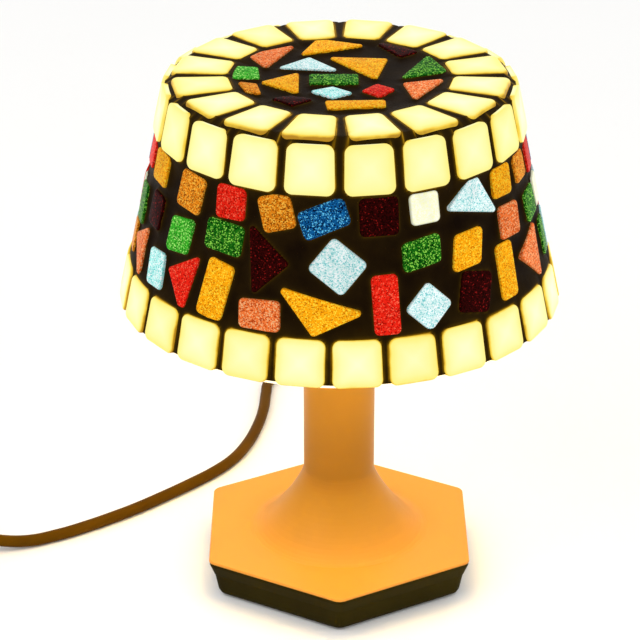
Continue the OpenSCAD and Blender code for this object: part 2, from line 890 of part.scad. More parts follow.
module switch_upper() {
    color([0.2, 0.12, 0.05])
        difference() {
            hull() {
                switch_block(switch_split, switch_h - 1.6, 0);
                switch_block(switch_h - 0.6, switch_h, 1.5);
            }
            difference() {
                switch_block(switch_split - 1, switch_h - 1.8, 1.8);
                at_switch_screws()
                    rod(3, switch_split, switch_h);
                translate([switch_at[0] - 3.5, switch_at[1] - 7.4, rocker_z - 2.8])
                    cube([7, 14.8, 5]);
            }
            at_switch_screws()
                rod(1.05, switch_split - 1, switch_h - 2);
            translate([switch_at[0] - 10.4, switch_at[1] - 4.8, switch_split])
                cube([20.8, 9.6, 20]);
            translate([switch_at[0], switch_at[1], rocker_z])
                rotate([90, 0, 0])
                    cylinder(r = 1.3, h = 14, center = true, $fn = 32);
            lead_hole();
        }
}

// Modelled in its on position, turned about its own pins
module switch_rocker() {
    color([0.93, 0.9, 0.82])
        translate([switch_at[0], switch_at[1], rocker_z])
            rotate([0, -rocker_tilt, 0]) {
                rotate([90, 0, 0])
                    linear_extrude(9, center = true)
                        polygon([[-9.6, 1.6], [-9.6, 3.6], [-8.8, 4.4], [0, 2.6],
                                 [8.8, 4.4], [9.6, 3.6], [9.6, 1.6], [3, -2.6],
                                 [-3, -2.6]]);
                rotate([90, 0, 0])
                    cylinder(r = 1.25, h = 13.6, center = true, $fn = 32);
            }
}

module switch_contacts() {
    color([0.85, 0.68, 0.35])
        for (s = [-1, 1])
            translate([switch_at[0] + s * 13 - 4, switch_at[1] - 2, 2])
                cube([8, 4, 0.8]);
}

module switch_screws() {
    color([0.75, 0.75, 0.78])
        at_switch_screws()
            translate([0, 0, 0.8])
                screw(2.2, 1.5, 0.95, 8);
}

// ---- plug -------------------------------------------------------------------

// Puts a plug that lies along +X in its place, with its pins towards +Y
module at_plug() {
    translate([plug_at[0], plug_at[1], plug_z])
        rotate(90)
            children();
}

module plug_slice(x, w, h) {
    translate([x, 0, 0])
        rotate([90, 0, 90])
            linear_extrude(0.5)
                offset(r = h * 0.42, $fn = 24)
                    square([w - h * 0.84, h * 0.16], center = true);
}

module plug_body() {
    color([0.2, 0.12, 0.05])
        at_plug() difference() {
            union() {
                hull() {
                    plug_slice(0, 12, 9.5);
                    plug_slice(8, 19, 13);
                    plug_slice(20, 26, plug_h);
                    plug_slice(plug_l - 0.5, 25, plug_h - 1);
                }
                translate([-14, 0, 0])
                    rotate([0, 90, 0])
                        cylinder(r1 = 3.4, r2 = 4.5, h = 14.2, $fn = 32);
            }
            translate([-15, 0, 0])
                rotate([0, 90, 0])
                    cylinder(r = lead_r + 0.05, h = 10, $fn = 24);
            for (s = [-1, 1])
                translate([pin_root, s * pin_gap / 2, 0])
                    rotate([0, 90, 0])
                        cylinder(r = pin_root_r, h = 20);
        }
}

module plug_pins() {
    color([0.85, 0.7, 0.4])
        at_plug() for (s = [-1, 1])
            translate([plug_l, s * pin_gap / 2, 0])
                rotate([0, 90, 0]) {
                    rod(pin_root_r, pin_root - plug_l, 0);
                    rod(pin_r, 0, pin_l - 1);
                    translate([0, 0, pin_l - 1])
                        cylinder(r1 = pin_r, r2 = 1.2, h = 1);
                }
}

// ---- lead -------------------------------------------------------------------

module cord_lead() {
    color([0.36, 0.21, 0.03])
        sweep(LEAD_ROUTE, lead_r);
}

// Outer shape of the wound lead, made larger all round
module coil_shape(grow) {
    half = coil_turns * coil_pitch / 2 + lead_r + grow;
    translate([coil_at[0], coil_at[1], 0])
        tube(coil_mid_r + half, coil_mid_r - half, coil_z - grow,
             coil_z + coil_h + grow);
}

module cord_tail() {
    color([0.36, 0.21, 0.03])
        difference() {
            sweep(TAIL_ROUTE, lead_r);
            coil_shape(coil_gap);
        }
}

module cord_end() {
    color([0.36, 0.21, 0.03])
        difference() {
            sweep(END_ROUTE, lead_r);
            coil_shape(coil_gap);
        }
}

module cord_coil() {
    color([0.36, 0.21, 0.03])
        coil_shape(0);
}

module coil_tie() {
    half = coil_turns * coil_pitch / 2 + lead_r + 1.6;
    color([0.1, 0.1, 0.1])
        difference() {
            translate([coil_at[0] + coil_mid_r - half, coil_at[1] - 4, 0])
                cube([2 * half - 0.4, 8, coil_z + coil_h + 1]);
            coil_shape(coil_gap);
        }
}

stem_cover();
foot_tray();
floor_pad();
foot_screws();
ballast_plate();
ballast_screws();
cord_relief();
cord_clamp();
clamp_screws();
cord_inside();
wire_live();
wire_neutral();
holder_body();
holder_insert();
holder_shell();
holder_contact();
holder_terminals();
holder_grub_screw();
carrier_hub();
carrier_arms();
carrier_ring();
ring_nut();
shade_glass();
mortar_bed();
crown_tiles();
shoulder_tiles();
rim_tiles();
chips_amber();
chips_orange();
chips_coral();
chips_red();
chips_maroon();
chips_green();
chips_leaf();
chips_blue();
chips_ice();
chips_cyan();
chips_cream();
bulb_tip();
bulb_insulator();
bulb_cap();
bulb_housing();
bulb_board();
bulb_leds();
bulb_globe();
switch_lower();
switch_upper();
switch_rocker();
switch_contacts();
switch_screws();
plug_body();
plug_pins();
cord_lead();
cord_tail();
cord_coil();
cord_end();
coil_tie();
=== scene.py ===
"""Mosaic glass table lamp: the lit lamp, its lead and a plain pale table."""

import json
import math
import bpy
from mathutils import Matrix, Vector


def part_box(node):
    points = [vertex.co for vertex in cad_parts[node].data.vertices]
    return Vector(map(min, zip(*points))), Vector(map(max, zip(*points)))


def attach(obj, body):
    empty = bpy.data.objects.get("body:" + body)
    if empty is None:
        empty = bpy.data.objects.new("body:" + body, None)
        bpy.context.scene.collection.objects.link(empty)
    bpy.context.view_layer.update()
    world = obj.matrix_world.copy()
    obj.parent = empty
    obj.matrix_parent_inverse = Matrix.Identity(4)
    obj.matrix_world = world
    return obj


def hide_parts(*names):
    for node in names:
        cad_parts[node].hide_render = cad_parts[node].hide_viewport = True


bl_info = {
    "name": "Mosaic Glass Table Lamp",
    "version": (1, 0, 0),
    "blender": (4, 5, 0),
    "location": "View3D > Sidebar > Lamp",
    "description": "Builds a lit mosaic table lamp around its packed frame",
    "category": "Object",
}

import bpy
import numpy as np
from mathutils import Vector
from mathutils.bvhtree import BVHTree

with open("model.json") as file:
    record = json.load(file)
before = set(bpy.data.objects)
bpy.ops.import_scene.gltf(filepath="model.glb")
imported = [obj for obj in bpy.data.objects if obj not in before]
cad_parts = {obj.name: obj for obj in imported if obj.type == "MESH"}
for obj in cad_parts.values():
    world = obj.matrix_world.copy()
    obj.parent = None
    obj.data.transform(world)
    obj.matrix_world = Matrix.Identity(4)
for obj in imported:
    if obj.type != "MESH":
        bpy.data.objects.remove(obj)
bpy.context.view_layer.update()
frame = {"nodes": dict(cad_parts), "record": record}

MM = 0.001
# Heights of the shade's flat crown and of the amber moulding's top end
CROWN_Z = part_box("shade_glass")[1].z
AMBER_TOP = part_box("stem_cover")[1].z
# From the lamp's axis to the foot's corners
FOOT_REACH = 76.5 * MM
# How far the shade's side leans in: 21 mm over its height of 97 mm
LEAN = math.atan2(21.0, 97.0)
# Radius of the shade's glass where its side meets the crown
CROWN_R = 70.3 * MM
# A face looks outward when its normal is this near to the shade's own
OUTWARD = 0.97
# Flat upper faces are larger than this; the rounded edges' faces are smaller
SMALLEST_FLAT = 12 * MM * MM
# How a glass piece's tone changes with its place, in radians a millimetre
TONE_WAVE = (0.9, 1.7, 2.3)
# Edges sharper than these angles, in degrees, stay sharp in shading
GLASS_SMOOTH = 60
MOULDING_SMOOTH = 35
TILE_NODES = ("crown_tiles", "shoulder_tiles", "rim_tiles")
CHIP_COLOURS = ("amber", "orange", "coral", "red", "maroon", "green", "leaf", "blue",
                "ice", "cyan", "cream")

# The lead's way in millimetres: from the foot to the switch, through it, on to
# the coil, and from the coil to the plug
LEAD_ROUTE = [
    (0, 88, 6.2), (0, 100, 5.4), (0, 112, 3.8), (2, 124, 2.9), (5, 137, 2.8),
    (7, 150, 2.8), (8, 162, 2.8), (7, 173, 2.8), (2, 183, 2.8), (-6, 188.8, 2.8),
    (-15, 190.7, 2.8), (-24, 188.8, 2.8), (-31, 183, 2.8), (-35, 174, 2.8),
    (-36, 162, 2.8), (-37, 144, 2.8), (-40, 124, 2.8), (-45, 105, 2.8),
    (-51, 91, 2.8), (-60, 78, 2.8), (-70, 67, 2.8), (-83, 54, 2.8),
    (-96, 42, 2.8), (-106, 34, 2.8), (-117, 26, 2.8), (-130, 18, 2.8),
    (-143, 12, 3.2), (-156, 9, 5.2), (-170, 9, 8),
]
SWITCH_PASSAGE = [(-190, 9, 8), (-210, 9, 8)]
TAIL_ROUTE = [(-230, 9, 8), (-243, 9, 5.6), (-256, 9, 3.6), (-268, 9, 3.2)]
END_ROUTE = [
    (-268, 88, 8.7), (-260, 88.5, 8.2), (-250, 91, 7.6), (-241, 97, 7.2),
    (-235, 106, 6.9), (-232, 118, 6.9), (-232, 133, 6.85), (-232, 138, 6.85),
]
COIL_CENTRE = Vector((-276, 48.5)) * MM
COIL_PITCH = 5.6 * MM
# Height of the lower layer's middle, and the share of a layer's turns over
# which the lead climbs half way to the other layer
COIL_LOWEST = 3.15 * MM
COIL_CLIMB = 0.1
COIL_STEPS_A_TURN = 16
# The drawn lead is this much thinner, so that it stays clear of its neighbours
LEAD_SLACK = 0.02 * MM

# Mortar: rows down the side, steps round the axis, and the crown's rings as
# their first radius, end and spacing in millimetres
MORTAR_ROWS = 100
MORTAR_STEPS = 600
MORTAR_CROWN_RINGS = (1.6, 69.4, 1.2)
CROWN_EDGE = 0.6 * MM
# The nearest piece is looked for this far out from the shade's glass
PROBE = 2.2 * MM
# Height of the mortar's lowest edge, which lies close to the glass
TUCKED = 0.1 * MM
# Distances over which the mortar's height and glow fall off beside a piece
FALL_TILE = 4.5 * MM
FALL_CHIP = 1.3 * MM
GLOW_TILE = 0.9 * MM
GLOW_CHIP = 0.7 * MM
HAZE_TILE = 5.0 * MM


# ---- settings ---------------------------------------------------------------


class LampStageSettings(bpy.types.PropertyGroup):
    """Camera, lights and table."""

    camera_place: bpy.props.FloatVectorProperty(
        name="Camera place", description="Where the camera stands",
        default=(-0.00847, -1.0554, 0.62516), subtype="TRANSLATION", unit="LENGTH")
    camera_tilt: bpy.props.FloatProperty(
        name="Camera tilt", description="How far the camera looks down",
        default=0.4453, subtype="ANGLE", unit="ROTATION")
    camera_lens: bpy.props.FloatProperty(
        name="Lens", description="Focal length on a 36 mm wide sensor", default=150.54)
    table_side: bpy.props.FloatProperty(
        name="Table", description="Length of the table's sides",
        default=8.0, unit="LENGTH")
    table_colour: bpy.props.FloatVectorProperty(
        name="Table colour", description="Colour of the table top",
        default=(0.93, 0.93, 0.925), subtype="COLOR")
    sky_strength: bpy.props.FloatProperty(
        name="Room light", description="Strength of the even light of the room",
        default=0.96)
    key_power: bpy.props.FloatProperty(
        name="Key light", description="Power of the large soft light", default=7.0)


class LampShadeSettings(bpy.types.PropertyGroup):
    """Glass and mortar of the shade."""

    tile_edge: bpy.props.FloatProperty(
        name="Tile edge", description="Rounding of the border tiles' upper edges",
        default=1.7 * MM, unit="LENGTH")
    chip_edge: bpy.props.FloatProperty(
        name="Piece edge", description="Rounding of the coloured pieces' upper edges",
        default=0.9 * MM, unit="LENGTH")
    mortar_open: bpy.props.FloatProperty(
        name="Open mortar", description="Height of the mortar away from the pieces",
        default=1.8 * MM, unit="LENGTH")
    mortar_tile: bpy.props.FloatProperty(
        name="Mortar at the tiles", description="Extra height between the border tiles",
        default=1.5 * MM, unit="LENGTH")
    mortar_chip: bpy.props.FloatProperty(
        name="Mortar at the pieces", description="Extra height where it meets a piece",
        default=1.0 * MM, unit="LENGTH")
    glow: bpy.props.FloatProperty(
        name="Glow", description="How strongly the lit glass shines", default=1.0)


class LampLeadSettings(bpy.types.PropertyGroup):
    """Lead and its coil."""

    diameter: bpy.props.FloatProperty(
        name="Diameter", description="Thickness of the lead",
        default=5.5 * MM, unit="LENGTH")
    length: bpy.props.FloatProperty(
        name="Length", description="Real length of the lead", default=1.8, unit="LENGTH")
    coil_radius: bpy.props.FloatProperty(
        name="Coil radius", description="Radius at the middle of the turns",
        default=30.4 * MM, unit="LENGTH")
    coil_turns: bpy.props.FloatProperty(
        name="Turns in a layer", description="Turns in each of the two layers",
        default=3.25)


def settings(name):
    """One of the groups of settings in SETTINGS, by its name."""
    return getattr(bpy.context.scene, name)


# ---- mesh helpers -----------------------------------------------------------


def clear_selection():
    if bpy.context.object and bpy.context.object.mode != "OBJECT":
        bpy.ops.object.mode_set(mode="OBJECT")
    bpy.ops.object.select_all(action="DESELECT")


def make_active(obj):
    clear_selection()
    obj.hide_set(False)
    obj.select_set(True)
    bpy.context.view_layer.objects.active = obj


def cad_copy(node, name):
    """A merged copy of a CAD node's mesh, with flat faces whole again."""
    source = frame["nodes"][node]
    copy = bpy.data.objects.new(name, source.data.copy())
    bpy.context.scene.collection.objects.link(copy)
    copy.data.materials.clear()
    make_active(copy)
    bpy.ops.object.mode_set(mode="EDIT")
    bpy.ops.mesh.select_all(action="SELECT")
    bpy.ops.mesh.remove_doubles(threshold=0.01 * MM)
    bpy.ops.mesh.dissolve_limited(angle_limit=math.radians(1.0))
    bpy.ops.object.mode_set(mode="OBJECT")
    return copy


def select_faces(obj, keep):
    """Selects the faces for which keep(face) holds, and stays in edit mode."""
    bpy.ops.object.mode_set(mode="EDIT")
    bpy.ops.mesh.select_mode(type="FACE")
    bpy.ops.mesh.select_all(action="DESELECT")
    bpy.ops.object.mode_set(mode="OBJECT")
    for face in obj.data.polygons:
        face.select = keep(face)
    bpy.ops.object.mode_set(mode="EDIT")


def add_attribute(obj, name, values):
    """Gives each vertex of a mesh a number that its material can read."""
    layer = obj.data.attributes.new(name, "FLOAT", "POINT")
    layer.data.foreach_set("value", np.asarray(values, np.float32))


def vertex_array(obj):
    """The places of a mesh's vertices, one row each."""
    co = np.zeros(len(obj.data.vertices) * 3)
    obj.data.vertices.foreach_get("co", co)
    return co.reshape(-1, 3)


def finish_piece(obj, body, material, smooth_angle):
    """Shades a piece, gives it its material and hands it to a body."""
    make_active(obj)
    bpy.ops.object.shade_smooth_by_angle(angle=math.radians(smooth_angle))
    obj.data.materials.clear()
    obj.data.materials.append(material)
    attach(obj, body)


# ---- material helpers -------------------------------------------------------


class Surface:
    """A material whose node tree ends in one Principled shader."""

    def __init__(self, name, **sockets):
        self.material = bpy.data.materials.new(name)
        self.material.use_nodes = True
        self.tree = self.material.node_tree
        self.shader = self.tree.nodes["Principled BSDF"]
        self.place = self.node("ShaderNodeTexCoord").outputs["Object"]
        for socket, value in sockets.items():
            self.shader.inputs[socket.replace("_", " ")].default_value = value

    def node(self, kind, **values):
        made = self.tree.nodes.new(kind)
        for key, value in values.items():
            setattr(made, key, value)
        return made

    def link(self, out, to):
        self.tree.links.new(out, to)

    def into(self, socket, out):
        self.link(out, self.shader.inputs[socket])

    def glow(self, colour, strength):
        self.into("Emission Color", colour)
        self.shader.inputs["Emission Strength"].default_value = strength

    def noise(self, scale, detail=3.0, roughness=0.5):
        made = self.node("ShaderNodeTexNoise")
        made.inputs["Scale"].default_value = scale
        made.inputs["Detail"].default_value = detail
        made.inputs["Roughness"].default_value = roughness
        self.link(self.place, made.inputs["Vector"])
        return made.outputs["Fac"]

    def flakes(self, scale):
        """A number for each small cell, the same all over the cell."""
        made = self.node("ShaderNodeTexVoronoi", feature="F1")
        made.inputs["Scale"].default_value = scale
        self.link(self.place, made.inputs["Vector"])
        split = self.node("ShaderNodeSeparateColor")
        self.link(made.outputs["Color"], split.inputs["Color"])
        return split.outputs["Red"]

    def ramp(self, fac, stops):
        """Colour or grey value from a number, between (place, colour) stops."""
        made = self.node("ShaderNodeValToRGB")
        made.color_ramp.interpolation = "LINEAR"
        elements = made.color_ramp.elements
        while len(elements) < len(stops):
            elements.new(0.5)
        for element, (at, colour) in zip(elements, stops):
            element.position = at
            grey = not isinstance(colour, tuple)
            element.color = (*((colour,) * 3 if grey else colour), 1.0)
        self.link(fac, made.inputs["Fac"])
        return made.outputs["Color"]

    def mix(self, fac, a, b, blend="MIX"):
        made = self.node("ShaderNodeMix", data_type="RGBA", blend_type=blend)
        first, second, result = made.inputs[6], made.inputs[7], made.outputs[2]
        for socket, value in ((made.inputs["Factor"], fac), (first, a), (second, b)):
            if isinstance(value, bpy.types.NodeSocket):
                self.link(value, socket)
            elif isinstance(value, tuple):
                socket.default_value = (*value, 1.0)
            else:
                socket.default_value = value
        return result

    def times(self, a, b):
        """Product of two colours."""
        return self.mix(1.0, a, b, "MULTIPLY")

    def maths(self, operation, a, b):
        made = self.node("ShaderNodeMath", operation=operation)
        for socket, value in zip(made.inputs, (a, b)):
            if isinstance(value, bpy.types.NodeSocket):
                self.link(value, socket)
            else:
                socket.default_value = value
        return made.outputs["Value"]

    def attribute(self, name):
        made = self.node("ShaderNodeAttribute", attribute_name=name)
        return made.outputs["Fac"]

    def bump(self, height, strength, distance):
        made = self.node("ShaderNodeBump")
        made.inputs["Strength"].default_value = strength
        made.inputs["Distance"].default_value = distance
        self.link(height, made.inputs["Height"])
        self.into("Normal", made.outputs["Normal"])


def plastic(name, colour, darker, roughness, specular=0.5, grain=900):
    """Moulded plastic: slight colour drift and a fine moulded grain."""
    surface = Surface(name, Roughness=roughness, Specular_IOR_Level=specular)
    surface.into("Base Color", surface.ramp(surface.noise(18, 4),
                                            [(0.3, darker), (0.7, colour)]))
    surface.bump(surface.noise(grain, 2), 0.12, 0.02 * MM)
    return surface.material


def metal(name, colour, roughness, grain=1200):
    """Plain or plated metal with faint drawing marks."""
    surface = Surface(name, Metallic=1.0)
    darker = tuple(0.8 * c for c in colour)
    surface.into("Base Color", surface.ramp(surface.noise(60, 3),
                                            [(0.3, darker), (0.7, colour)]))
    surface.into("Roughness", surface.ramp(surface.noise(grain, 2),
                                           [(0.2, roughness * 0.8), (0.8, roughness * 1.3)]))
    surface.bump(surface.noise(grain, 2), 0.1, 0.02 * MM)
    return surface.material


# ---- finishes ---------------------------------------------------------------


def amber_plastic():
    """Satin amber moulding of the stem and the foot's cover, with painted shade and
    light: lightest on the flat of the foot, painted darker up the flare and the stem, and
    painted a little lighter again at the top under the shade, where the bulb lights it."""
    surface = Surface("amber_plastic", Roughness=0.42, Specular_IOR_Level=0.16)
    split = surface.node("ShaderNodeSeparateXYZ")
    surface.link(surface.place, split.inputs["Vector"])
    x, y, z = (split.outputs[axis] for axis in "XYZ")
    squares = surface.maths("ADD", surface.maths("MULTIPLY", x, x),
                            surface.maths("MULTIPLY", y, y))
    drift = surface.maths("MULTIPLY", surface.noise(9, 3), 0.006)
    reach = surface.maths("ADD", surface.maths("SQRT", squares, 0.0), drift)
    # Painted shade: the colour darkens towards the axis, where the flare and the stem get less
    # light
    painted_shade_by_reach = surface.ramp(surface.maths("MULTIPLY", reach, 1 / FOOT_REACH),
                          [(0.25, (0.34, 0.143, 0.006)), (0.28, (0.37, 0.166, 0.009)),
                           (0.34, (0.41, 0.188, 0.013)), (0.41, (0.46, 0.21, 0.018)),
                           (0.49, (0.52, 0.233, 0.023)), (0.66, (0.62, 0.253, 0.03))])
    # Painted light: the upper stem is mixed towards a lighter colour, as if lit by the bulb
    climb = surface.ramp(surface.maths("MULTIPLY", z, 1 / AMBER_TOP),
                         [(0.42, 0.0), (0.62, 0.45), (0.85, 1.0)])
    surface.into("Base Color", surface.mix(climb, painted_shade_by_reach, (0.46, 0.21, 0.015)))
    surface.bump(surface.noise(1500, 2), 0.08, 0.015 * MM)
    return surface.material


def dark_plastic():
    """Moulding of the foot's tray, painted near-black olive-brown as shade for the foot's unlit
    sides.
    """
    surface = Surface("dark_plastic", Roughness=0.55, Specular_IOR_Level=0.03)
    surface.into("Base Color", surface.ramp(surface.noise(25, 4),
                                            [(0.3, (0.016, 0.011, 0.0004)),
                                             (0.75, (0.028, 0.021, 0.001))]))
    surface.bump(surface.noise(700, 2), 0.15, 0.02 * MM)
    return surface.material


def opal_tile(glow):
    """Lit opal glass: pale yellow in the middle, amber towards the mortar."""
    surface = Surface("opal_tile", Roughness=0.2, Specular_IOR_Level=0.08)
    cloud = surface.noise(70, 4, 0.55)
    heart = surface.maths("ADD", surface.attribute("heart"),
                          surface.maths("MULTIPLY", surface.maths("SUBTRACT", cloud, 0.5), 0.3))
    lit = surface.ramp(heart, [(0.0, (0.42, 0.2, 0.0)), (0.07, (0.9, 0.62, 0.05)),
                               (0.16, (1.0, 0.87, 0.26)), (0.4, (1.0, 0.94, 0.43)),
                               (0.9, (1.0, 0.98, 0.62))])
    tone = surface.ramp(surface.attribute("tone"), [(0.0, (1.0, 0.96, 0.78)),
                                                    (1.0, (1.0, 1.0, 1.0))])
    lit = surface.times(lit, tone)
    surface.glow(lit, glow)
    surface.shader.inputs["Base Color"].default_value = (0.06, 0.05, 0.015, 1)
    surface.bump(surface.noise(140, 3), 0.25, 0.25 * MM)
    return surface.material


# Glitter colours: dark ground, body colour, bright flakes, and how much of
# the surface each of the first two takes
GLITTER = {
    "amber": ((0.6, 0.17, 0.0), (1.0, 0.4, 0.004), (1.0, 0.7, 0.04), 0.26, 0.76),
    "orange": ((0.3, 0.07, 0.001), (0.85, 0.25, 0.008), (1.0, 0.52, 0.06), 0.36, 0.74),
    "coral": ((0.5, 0.06, 0.008), (0.95, 0.19, 0.035), (1.0, 0.5, 0.22), 0.28, 0.72),
    "red": ((0.36, 0.004, 0.001), (0.82, 0.016, 0.006), (1.0, 0.14, 0.07), 0.28, 0.84),
    "maroon": ((0.008, 0.0005, 0.0), (0.03, 0.001, 0.001), (0.3, 0.01, 0.008), 0.5, 0.92),
    "green": ((0.001, 0.035, 0.001), (0.01, 0.16, 0.006), (0.3, 0.75, 0.08), 0.36, 0.76),
    "leaf": ((0.008, 0.14, 0.004), (0.04, 0.42, 0.02), (0.4, 0.9, 0.18), 0.32, 0.78),
    "blue": ((0.001, 0.008, 0.04), (0.004, 0.1, 0.3), (0.12, 0.55, 0.85), 0.4, 0.8),
    "ice": ((0.2, 0.6, 0.62), (0.6, 0.88, 0.86), (0.95, 1.0, 1.0), 0.24, 0.62),
    "cyan": ((0.1, 0.55, 0.55), (0.42, 0.9, 0.84), (0.95, 1.0, 1.0), 0.22, 0.65),
    "cream": ((1.0, 1.0, 0.55), (1.0, 1.0, 0.7), (1.0, 1.0, 0.85), 0.2, 0.6),
}


def glitter_glass(colour, glow):
    """Lit glitter glass: small flakes of light over a darker ground."""
    ground, body, flake, low, high = GLITTER[colour]
    surface = Surface("glitter_" + colour, Roughness=0.3, Specular_IOR_Level=0.01)
    grain = surface.flakes(2300)
    lit = surface.ramp(grain, [(low * 0.6, ground), (low, body), (high, body),
                               (min(high + 0.1, 1.0), flake)])
    patch = surface.ramp(surface.noise(160, 3), [(0.3, 0.88), (0.6, 1.0)])
    lit = surface.times(lit, patch)
    tone = surface.ramp(surface.attribute("tone"), [(0.0, 0.86), (0.5, 1.0)])
    lit = surface.times(lit, tone)
    # Painted shade: the glow is dimmer towards each piece's edge
    rim = surface.ramp(surface.attribute("heart"), [(0.0, 0.45), (0.2, 1.0)])
    lit = surface.times(lit, rim)
    surface.glow(lit, glow)
    surface.into("Base Color", surface.times(lit, (0.06, 0.06, 0.06)))
    surface.bump(grain, 0.3, 0.1 * MM)
    return surface.material


def mortar_finish(glow):
    """Near-black brown mortar with an amber glow where it meets lit glass."""
    surface = Surface("mortar", Roughness=0.5, Specular_IOR_Level=0.02)
    surface.into("Base Color", surface.ramp(surface.noise(90, 5),
                                            [(0.3, (0.004, 0.0015, 0.0)),
                                             (0.8, (0.014, 0.007, 0.0005))]))
    smear = surface.ramp(surface.noise(120, 5, 0.65), [(0.25, 0.25), (0.7, 1.0)])
    halo = surface.ramp(surface.attribute("halo"),
                        [(0.0, (0.001, 0.0, 0.0)), (0.25, (0.012, 0.006, 0.0)),
                         (0.55, (0.05, 0.026, 0.0)), (0.8, (0.24, 0.12, 0.0)),
                         (1.0, (0.8, 0.42, 0.02))])
    surface.glow(surface.times(halo, smear), glow)
    surface.bump(surface.noise(450, 4), 0.5, 0.25 * MM)
    return surface.material


def milk_glass(glow):
    """Frosted white glass lit from inside."""
    surface = Surface("milk_glass", Roughness=0.4, Specular_IOR_Level=0.4)
    surface.into("Base Color", surface.ramp(surface.noise(30, 3),
                                            [(0.3, (0.82, 0.78, 0.66)),
                                             (0.7, (0.9, 0.87, 0.78))]))
    surface.glow(surface.ramp(surface.noise(12, 2), [(0.3, (1.0, 0.72, 0.34)),
                                                     (0.7, (1.0, 0.8, 0.45))]),
                 1.3 * glow)
    surface.bump(surface.noise(900, 2), 0.1, 0.02 * MM)
    return surface.material


def bulb_opal(glow):
    """Lit opal dome of the bulb."""
    surface = Surface("bulb_opal", Roughness=0.3)
    surface.shader.inputs["Base Color"].default_value = (0.95, 0.92, 0.85, 1)
    surface.glow(surface.ramp(surface.noise(20, 2), [(0.3, (1.0, 0.7, 0.34)),
                                                     (0.7, (1.0, 0.74, 0.4))]),
                 26 * glow)
    return surface.material


def steatite():
    """Dull white ceramic with a slightly rough skin."""
    surface = Surface("steatite", Roughness=0.6)
    surface.into("Base Color", surface.ramp(surface.noise(200, 4),
                                            [(0.3, (0.78, 0.75, 0.68)),
                                             (0.7, (0.88, 0.86, 0.8))]))
    surface.bump(surface.noise(800, 3), 0.3, 0.05 * MM)
    return surface.material


def lead_sheath():
    """Brown flexible sheath with a faint extruded grain."""
    surface = Surface("lead_sheath", Roughness=0.42, Specular_IOR_Level=0.02)
    surface.into("Base Color", surface.ramp(surface.noise(40, 4),
                                            [(0.3, (0.08, 0.032, 0.0002)),
                                             (0.75, (0.115, 0.048, 0.0005))]))
    surface.bump(surface.noise(700, 2), 0.12, 0.03 * MM)
    return surface.material


def slot_finishes():
    """Material for each of the record's slots that a CAD node shows."""
    return {
        "amber_plastic": amber_plastic(),
        "dark_plastic": dark_plastic(),
        "pad_rubber": plastic("pad_rubber", (0.03, 0.03, 0.03), (0.018, 0.018, 0.018), 0.85,
                              0.2, grain=500),
        "zinc_steel": metal("zinc_steel", (0.72, 0.73, 0.76), 0.3),
        "ballast_iron": metal("ballast_iron", (0.28, 0.28, 0.3), 0.65, 300),
        "lead_brown": lead_sheath(),
        "white_plastic": plastic("white_plastic", (0.84, 0.82, 0.76), (0.78, 0.75, 0.68), 0.35),
        "wire_brown": plastic("wire_brown", (0.2, 0.08, 0.03), (0.15, 0.06, 0.02), 0.35),
        "wire_blue": plastic("wire_blue", (0.04, 0.12, 0.5), (0.03, 0.09, 0.4), 0.35),
        "steatite": steatite(),
        "brass": metal("brass", (0.82, 0.62, 0.28), 0.28),
        "carrier_steel": metal("carrier_steel", (0.4, 0.4, 0.41), 0.38),
        "milk_glass": milk_glass(1.0),
        "bulb_white": plastic("bulb_white", (0.88, 0.88, 0.86), (0.83, 0.83, 0.8), 0.3),
        "bulb_black": plastic("bulb_black", (0.02, 0.02, 0.02), (0.012, 0.012, 0.012), 0.2),
        "cap_nickel": metal("cap_nickel", (0.8, 0.78, 0.74), 0.22),
        "board": plastic("board", (0.85, 0.87, 0.85), (0.8, 0.82, 0.8), 0.45),
        "led_yellow": plastic("led_yellow", (0.95, 0.78, 0.2), (0.9, 0.7, 0.15), 0.3),
        "bulb_opal": bulb_opal(1.0),
        "switch_brown": plastic("switch_brown", (0.1, 0.045, 0.012), (0.07, 0.03, 0.008), 0.3,
                                0.45),
        "rocker_cream": plastic("rocker_cream", (0.85, 0.79, 0.66), (0.8, 0.73, 0.58), 0.28),
        "tie_black": plastic("tie_black", (0.03, 0.03, 0.03), (0.02, 0.02, 0.02), 0.6),
    }


# ---- operators --------------------------------------------------------------


